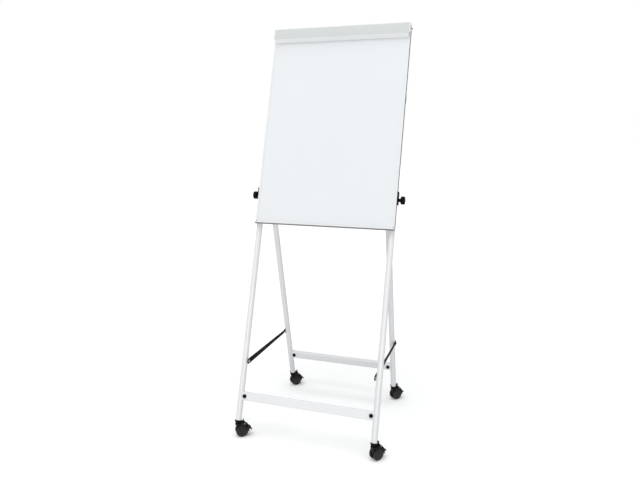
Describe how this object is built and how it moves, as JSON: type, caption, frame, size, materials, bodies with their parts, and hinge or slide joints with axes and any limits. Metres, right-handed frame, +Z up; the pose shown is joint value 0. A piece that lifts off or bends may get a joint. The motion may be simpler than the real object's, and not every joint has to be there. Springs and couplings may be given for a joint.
{
  "type": "flipchart easel",
  "caption": "Mobile flipchart easel: height-adjustable board with a lifting clamp bar on a folding frame of round tubes with flat side braces and braked castors.",
  "frame": {"origin": "floor level, below the centre of the bounding box with the board raised and the frame opened", "axes": "+Z up, -Y toward a person who faces the board, +X to their right"},
  "size_m": [0.7674, 0.7296, 1.9742],
  "materials": {
    "white_coat": "smooth satin powder coat",
    "board_enamel": "glossy white dry-wipe surface",
    "bar_grey": "pale grey satin powder coat",
    "black_plastic": "fine-grained moulded plastic",
    "black_steel": "black satin powder coat",
    "castor_grey": "dark grey moulded nylon",
    "zinc": "bright zinc plate",
    "nylon": "natural nylon"
  },
  "bodies": {
    "front_frame": {"front_leg_left": "white_coat", "front_leg_right": "white_coat", "front_crossbar": "white_coat", "front_top_bar": "white_coat", "front_bar_screw_left": "black_plastic", "front_bar_screw_right": "black_plastic", "front_leg_socket_left": "black_plastic", "front_leg_socket_right": "black_plastic", "front_leg_cap_left": "black_plastic", "front_leg_cap_right": "black_plastic", "fold_bolt_left": "zinc", "fold_bolt_right": "zinc", "fold_spacer_left": "nylon", "fold_spacer_right": "nylon", "brace_rivet_left": "zinc", "brace_rivet_right": "zinc"},
    "rear_frame": {"rear_leg_left": "white_coat", "rear_leg_right": "white_coat", "rear_crossbar": "white_coat", "rear_bar_screw_left": "black_plastic", "rear_bar_screw_right": "black_plastic", "rear_leg_socket_left": "black_plastic", "rear_leg_socket_right": "black_plastic", "rear_leg_cap_left": "black_plastic", "rear_leg_cap_right": "black_plastic", "brace_stud_left": "black_steel", "brace_stud_right": "black_steel"},
    "brace_left": {"brace_left": "black_steel"},
    "brace_right": {"brace_right": "black_steel"},
    "board": {"board_panel": "board_enamel", "side_frame_left": "white_coat", "side_frame_right": "white_coat", "tray": "white_coat", "top_rail": "white_coat", "clamp_plate_left": "black_plastic", "clamp_plate_right": "black_plastic", "lower_guide_left": "nylon", "lower_guide_right": "nylon", "upper_guide_left": "nylon", "upper_guide_right": "nylon"},
    "clamp_bar": {"clamp_bar": "bar_grey", "clamp_end_cap_left": "white_coat", "clamp_end_cap_right": "white_coat"},
    "pad_hook_left": {"pad_hook_left": "black_plastic"},
    "pad_hook_right": {"pad_hook_right": "black_plastic"},
    "knob_left": {"knob_left": "black_plastic"},
    "knob_right": {"knob_right": "black_plastic"},
    "castor_front_left": {"castor_hood_front_left": "castor_grey"},
    "wheels_front_left": {"castor_wheels_front_left": "castor_grey"},
    "brake_front_left": {"castor_brake_front_left": "black_plastic"},
    "castor_front_right": {"castor_hood_front_right": "castor_grey"},
    "wheels_front_right": {"castor_wheels_front_right": "castor_grey"},
    "brake_front_right": {"castor_brake_front_right": "black_plastic"},
    "castor_rear_left": {"castor_hood_rear_left": "castor_grey"},
    "wheels_rear_left": {"castor_wheels_rear_left": "castor_grey"},
    "brake_rear_left": {"castor_brake_rear_left": "black_plastic"},
    "castor_rear_right": {"castor_hood_rear_right": "castor_grey"},
    "wheels_rear_right": {"castor_wheels_rear_right": "castor_grey"},
    "brake_rear_right": {"castor_brake_rear_right": "black_plastic"}
  },
  "joints": [
    {"name": "fold", "type": "hinge", "parent": "front_frame", "child": "rear_frame", "pos_m": [0, -0.0035, 1.178], "axis": [-1, 0, 0], "range_deg": [0, 22]},
    {"name": "brace_left_lift", "type": "hinge", "parent": "front_frame", "child": "brace_left", "pos_m": [-0.3145, -0.25761, 0.352], "axis": [1, 0, 0], "range_deg": [0, 66.5]},
    {"name": "brace_right_lift", "type": "hinge", "parent": "front_frame", "child": "brace_right", "pos_m": [0.3145, -0.25761, 0.352], "axis": [1, 0, 0], "range_deg": [0, 66.5]},
    {"name": "board_height", "type": "slide", "parent": "front_frame", "child": "board", "axis": [0, 0.294, 0.9558], "range_m": [-0.25, 0]},
    {"name": "clamp_bar_lift", "type": "hinge", "parent": "board", "child": "clamp_bar", "pos_m": [0, 0.23585, 1.94923], "axis": [-1, 0, 0], "range_deg": [0, 55]},
    {"name": "pad_hook_left_slide", "type": "slide", "parent": "board", "child": "pad_hook_left", "axis": [1, 0, 0], "range_m": [-0.12, 0.12]},
    {"name": "pad_hook_right_slide", "type": "slide", "parent": "board", "child": "pad_hook_right", "axis": [1, 0, 0], "range_m": [-0.12, 0.12]},
    {"name": "knob_left_turn", "type": "hinge", "parent": "board", "child": "knob_left", "pos_m": [-0.3545, -0.0154, 1.13931], "axis": [1, 0, 0], "continuous": true},
    {"name": "knob_right_turn", "type": "hinge", "parent": "board", "child": "knob_right", "pos_m": [0.3545, -0.0154, 1.13931], "axis": [1, 0, 0], "continuous": true},
    {"name": "castor_front_left_swivel", "type": "hinge", "parent": "front_frame", "child": "castor_front_left", "pos_m": [-0.3345, -0.34436, 0.05], "axis": [0, 0, 1], "continuous": true},
    {"name": "wheels_front_left_roll", "type": "hinge", "parent": "castor_front_left", "child": "wheels_front_left", "pos_m": [-0.3211, -0.3339, 0.03], "axis": [-0.6157, 0.788, 0], "continuous": true},
    {"name": "brake_front_left_lift", "type": "hinge", "parent": "castor_front_left", "child": "brake_front_left", "pos_m": [-0.31322, -0.32774, 0.066], "axis": [0.6157, -0.788, 0], "range_deg": [0, 8]},
    {"name": "castor_front_right_swivel", "type": "hinge", "parent": "front_frame", "child": "castor_front_right", "pos_m": [0.3345, -0.34436, 0.05], "axis": [0, 0, 1], "continuous": true},
    {"name": "wheels_front_right_roll", "type": "hinge", "parent": "castor_front_right", "child": "wheels_front_right", "pos_m": [0.34413, -0.33036, 0.03], "axis": [-0.8241, 0.5664, 0], "continuous": true},
    {"name": "brake_front_right_lift", "type": "hinge", "parent": "castor_front_right", "child": "brake_front_right", "pos_m": [0.34979, -0.32211, 0.066], "axis": [0.8241, -0.5664, 0], "range_deg": [0, 8]},
    {"name": "castor_rear_left_swivel", "type": "hinge", "parent": "rear_frame", "child": "castor_rear_left", "pos_m": [-0.297, 0.30378, 0.05], "axis": [0, 0, 1], "continuous": true},
    {"name": "wheels_rear_left_roll", "type": "hinge", "parent": "castor_rear_left", "child": "wheels_rear_left", "pos_m": [-0.28563, 0.31641, 0.03], "axis": [-0.7431, 0.6691, 0], "continuous": true},
    {"name": "brake_rear_left_lift", "type": "hinge", "parent": "castor_rear_left", "child": "brake_rear_left", "pos_m": [-0.27893, 0.32384, 0.066], "axis": [0.7431, -0.6691, 0], "range_deg": [0, 8]},
    {"name": "castor_rear_right_swivel", "type": "hinge", "parent": "rear_frame", "child": "castor_rear_right", "pos_m": [0.297, 0.30378, 0.05], "axis": [0, 0, 1], "continuous": true},
    {"name": "wheels_rear_right_roll", "type": "hinge", "parent": "castor_rear_right", "child": "wheels_rear_right", "pos_m": [0.30723, 0.31735, 0.03], "axis": [-0.7986, 0.6018, 0], "continuous": true},
    {"name": "brake_rear_right_lift", "type": "hinge", "parent": "castor_rear_right", "child": "brake_rear_right", "pos_m": [0.31325, 0.32534, 0.066], "axis": [0.7986, -0.6018, 0], "range_deg": [0, 8]}
  ],
  "couplings": [
    {"joint": "brace_left_lift", "follows": "fold", "ratio": 3},
    {"joint": "brace_right_lift", "follows": "fold", "ratio": 3}
  ]
}
